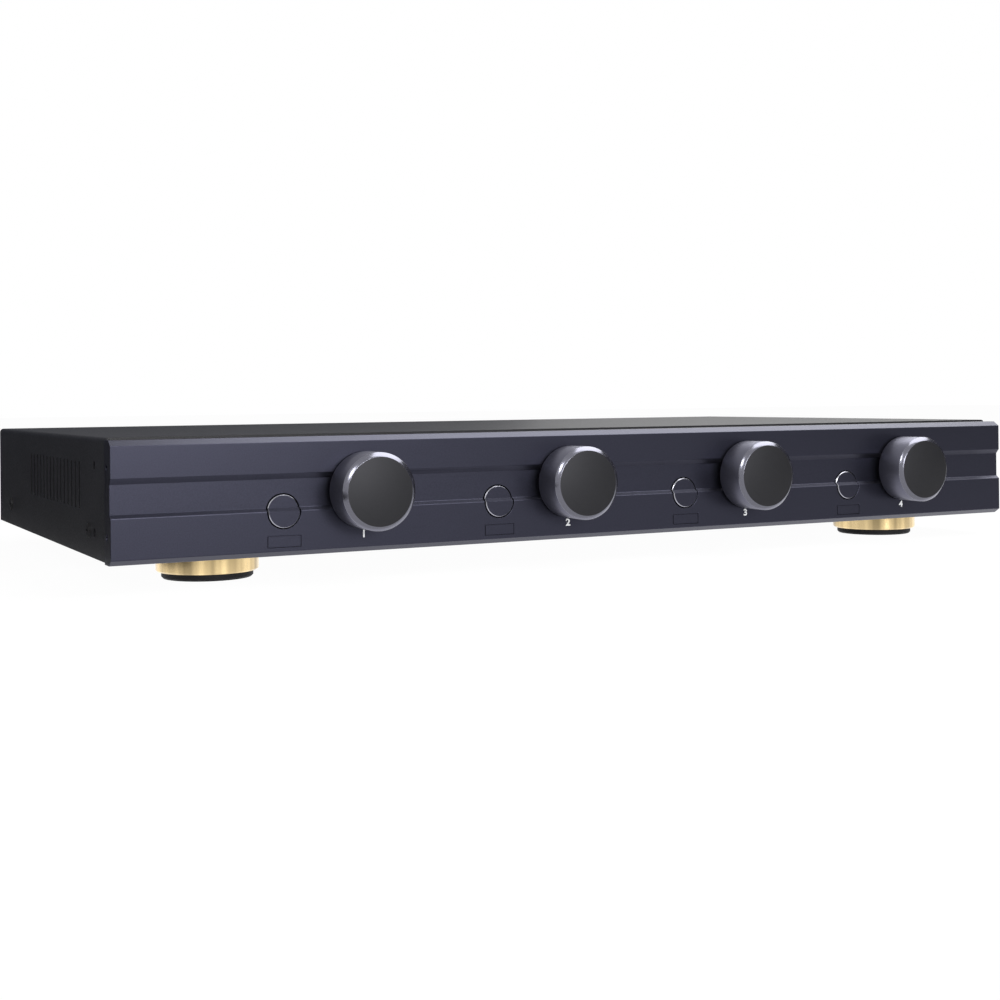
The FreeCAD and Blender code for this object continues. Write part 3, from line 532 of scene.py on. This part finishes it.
def print_numeral(zone, material):
    """A zone's number, printed on the panel below its dial and a little to the left."""
    text = bpy.data.curves.new(f"numeral_curve_{zone}", "FONT")
    text.body = str(zone)
    text.align_x = "CENTER"
    text.align_y = "CENTER"
    text.size = NUMERAL_HIGH / CAPITAL_SHARE
    text.offset = NUMERAL_BOLD
    text.extrude = NUMERAL_THICK / 2
    text.resolution_u = 6
    carrier = bpy.data.objects.new(f"numeral_text_{zone}", text)
    data = bpy.data.meshes.new_from_object(carrier)
    bpy.data.objects.remove(carrier)
    mesh = bmesh.new()
    mesh.from_mesh(data)
    bpy.data.meshes.remove(data)
    low = Vector([min(v.co[i] for v in mesh.verts) for i in range(3)])
    high = Vector([max(v.co[i] for v in mesh.verts) for i in range(3)])
    bmesh.ops.translate(mesh, verts=mesh.verts, vec=-(low + high) / 2)
    bmesh.ops.scale(mesh, verts=mesh.verts, vec=(NUMERAL_WIDER, 1, 1))
    bmesh.ops.rotate(mesh, verts=mesh.verts, cent=Vector(), matrix=Matrix.Rotation(math.pi / 2, 3, "X"))
    across = middle(f"volume_knob_{zone}").x - NUMERAL_LEFT
    spot = Vector((across, front - NUMERAL_THICK / 4, panel_low.z + NUMERAL_ABOVE_BOTTOM))
    bmesh.ops.translate(mesh, verts=mesh.verts, vec=spot)
    bmesh.ops.remove_doubles(mesh, verts=mesh.verts, dist=TOUCHING / 2)
    piece(f"numeral_{zone}", mesh, "case", None, material)


# Studio: a white room, which the camera and reflections see bright and the soft light sees dim
FLOOR_SIZE = 6.0
FLOOR_GLOW = 0.97
ROOM_BRIGHT = 1.0
ROOM_DIM = 0.35


def seen_rays(tree):
    """1 for a ray from the camera, from a reflection or through glass."""
    path = tree.nodes.new("ShaderNodeLightPath")
    total = path.outputs["Is Camera Ray"]
    for name in ("Is Glossy Ray", "Is Transmission Ray"):
        both = tree.nodes.new("ShaderNodeMath")
        both.operation = "MAXIMUM"
        tree.links.new(total, both.inputs[0])
        tree.links.new(path.outputs[name], both.inputs[1])
        total = both.outputs[0]
    return total


def make_floor():
    """White paper below the feet, which keeps a trace of the shadow."""
    mesh = bmesh.new()
    bmesh.ops.create_grid(mesh, x_segments=1, y_segments=1, size=FLOOR_SIZE)
    made = Finish("floor_paper", (0.85, 0.85, 0.85), rough=0.9)
    made.tinted(made.noise(0.2), 0.99, 1.01)
    glow = made.add("ShaderNodeEmission")
    glow.inputs["Color"].default_value = (1, 1, 1, 1)
    glow.inputs["Strength"].default_value = ROOM_BRIGHT
    mix = made.add("ShaderNodeMixShader")
    seen = seen_rays(made.tree)
    part = made.add("ShaderNodeMath", operation="MULTIPLY")
    part.inputs[1].default_value = FLOOR_GLOW
    made.link(seen, part.inputs[0])
    made.link(part.outputs[0], mix.inputs[0])
    made.link(made.shader.outputs[0], mix.inputs[1])
    made.link(glow.outputs[0], mix.inputs[2])
    made.link(mix.outputs[0], made.tree.nodes["Material Output"].inputs["Surface"])
    floor = new_object("floor", mesh, made.material)


def make_world():
    world = bpy.data.worlds.new("studio")
    world.use_nodes = True
    bpy.context.scene.world = world
    tree = world.node_tree
    dim = tree.nodes["Background"]
    dim.inputs["Color"].default_value = (1, 1, 1, 1)
    dim.inputs["Strength"].default_value = ROOM_DIM
    white = tree.nodes.new("ShaderNodeBackground")
    white.inputs["Color"].default_value = (1, 1, 1, 1)
    white.inputs["Strength"].default_value = ROOM_BRIGHT
    mix = tree.nodes.new("ShaderNodeMixShader")
    tree.links.new(seen_rays(tree), mix.inputs[0])
    tree.links.new(dim.outputs[0], mix.inputs[1])
    tree.links.new(white.outputs[0], mix.inputs[2])
    tree.links.new(mix.outputs[0], tree.nodes["World Output"].inputs["Surface"])


def area_light(name, spot, target, size, watts):
    data = bpy.data.lights.new(name, "AREA")
    data.shape = "RECTANGLE"
    data.size, data.size_y = size
    data.energy = watts
    lamp = bpy.data.objects.new(name, data)
    lamp.location = spot
    lamp.rotation_euler = (Vector(target) - Vector(spot)).to_track_quat("-Z", "Y").to_euler()
    bpy.context.scene.collection.objects.link(lamp)


def card(name, corner, side, up, level):
    """A flat card that spans two edges from a corner. Only reflections see it, with a brightness of its own:
    dark to keep the white room out of them, or bright to light them."""
    corner, side, up = Vector(corner), Vector(side), Vector(up)
    mesh = bmesh.new()
    outline = (corner, corner + side, corner + side + up, corner + up)
    mesh.faces.new([mesh.verts.new(spot) for spot in outline])
    made = Finish(f"{name}_card", (0, 0, 0), rough=1.0, Specular_IOR_Level=0.0)
    made.shader.inputs["Emission Color"].default_value = (*level, 1.0)
    made.shader.inputs["Emission Strength"].default_value = 1.0
    thing = new_object(name, mesh, made.material)
    thing.visible_camera = False
    thing.visible_diffuse = False
    thing.visible_transmission = False
    thing.visible_shadow = False


# Where the cards stand, in metres, and how bright they are
FAR_LEFT = -2.4
BEHIND = 1.5
CARD_ABOVE_FLOOR = 1.0 * MM
GREY = (0.05, 0.05, 0.055)
COOL_GREY = (0.05, 0.055, 0.075)
PALER_GREY = (0.06, 0.06, 0.08)
BOUNCE = (1.4, 1.4, 1.45)


def make_lights():
    """Three soft boxes, and the cards that shape what the metal reflects."""
    area_light("softbox_above", spot=(0.8, -0.1, 1.25), target=(0.2, -0.05, 0.03), size=(1.9, 1.3), watts=38)
    area_light("softbox_ahead", spot=(0.05, -1.6, 0.4), target=(-0.15, 0, 0.03), size=(0.6, 0.5), watts=11)
    area_light("softbox_left", spot=(-0.9, -1.1, 0.85), target=(0, -0.1, 0.03), size=(0.3, 0.45), watts=8)
    card("flag_behind_left", (FAR_LEFT, BEHIND, 0), (3.25, 0, 0), (0, 0, 1.3), COOL_GREY)
    card("flag_right", (1.6, -1.8, 0), (0, 2.5, 0), (0, 0, 1.5), PALER_GREY)
    beside = panel_low.x - 10 * MM
    card("flag_floor_left", (FAR_LEFT, -0.4, CARD_ABOVE_FLOOR), (beside - FAR_LEFT, 0, 0), (0, 1.9, 0), GREY)
    ahead = front - 18 * MM
    card("bounce_below", (-0.3, ahead, CARD_ABOVE_FLOOR / 2), (0.7, 0, 0), (0, 118 * MM, 0), BOUNCE)


# The scene
make_camera()
materials = slot_materials()
for subpart in frame["record"]["subparts"]:
    give(nodes[subpart["node"]], materials[subpart["material_slot"]])

cut_edge = bright_cut("cut_edge")
for zone in ZONES:
    dress_dial(zone)
    dress_button(zone, cut_edge)
white_ink = ink("label_ink")
for zone in ZONES:
    print_numeral(zone, white_ink)
soften("front_panel", PANEL_EDGE_ROUND, 30)
for corner in CORNERS:
    node = f"foot_ring_{corner}"
    give(nodes[node], spun_brass(f"foot_brass_{corner}", middle(node)))
    for face in nodes[node].data.polygons:
        face.use_smooth = True
    split_edges(nodes[node], 30)

make_floor()
make_world()
make_lights()
view = bpy.context.scene.view_settings
view.view_transform = "Standard"
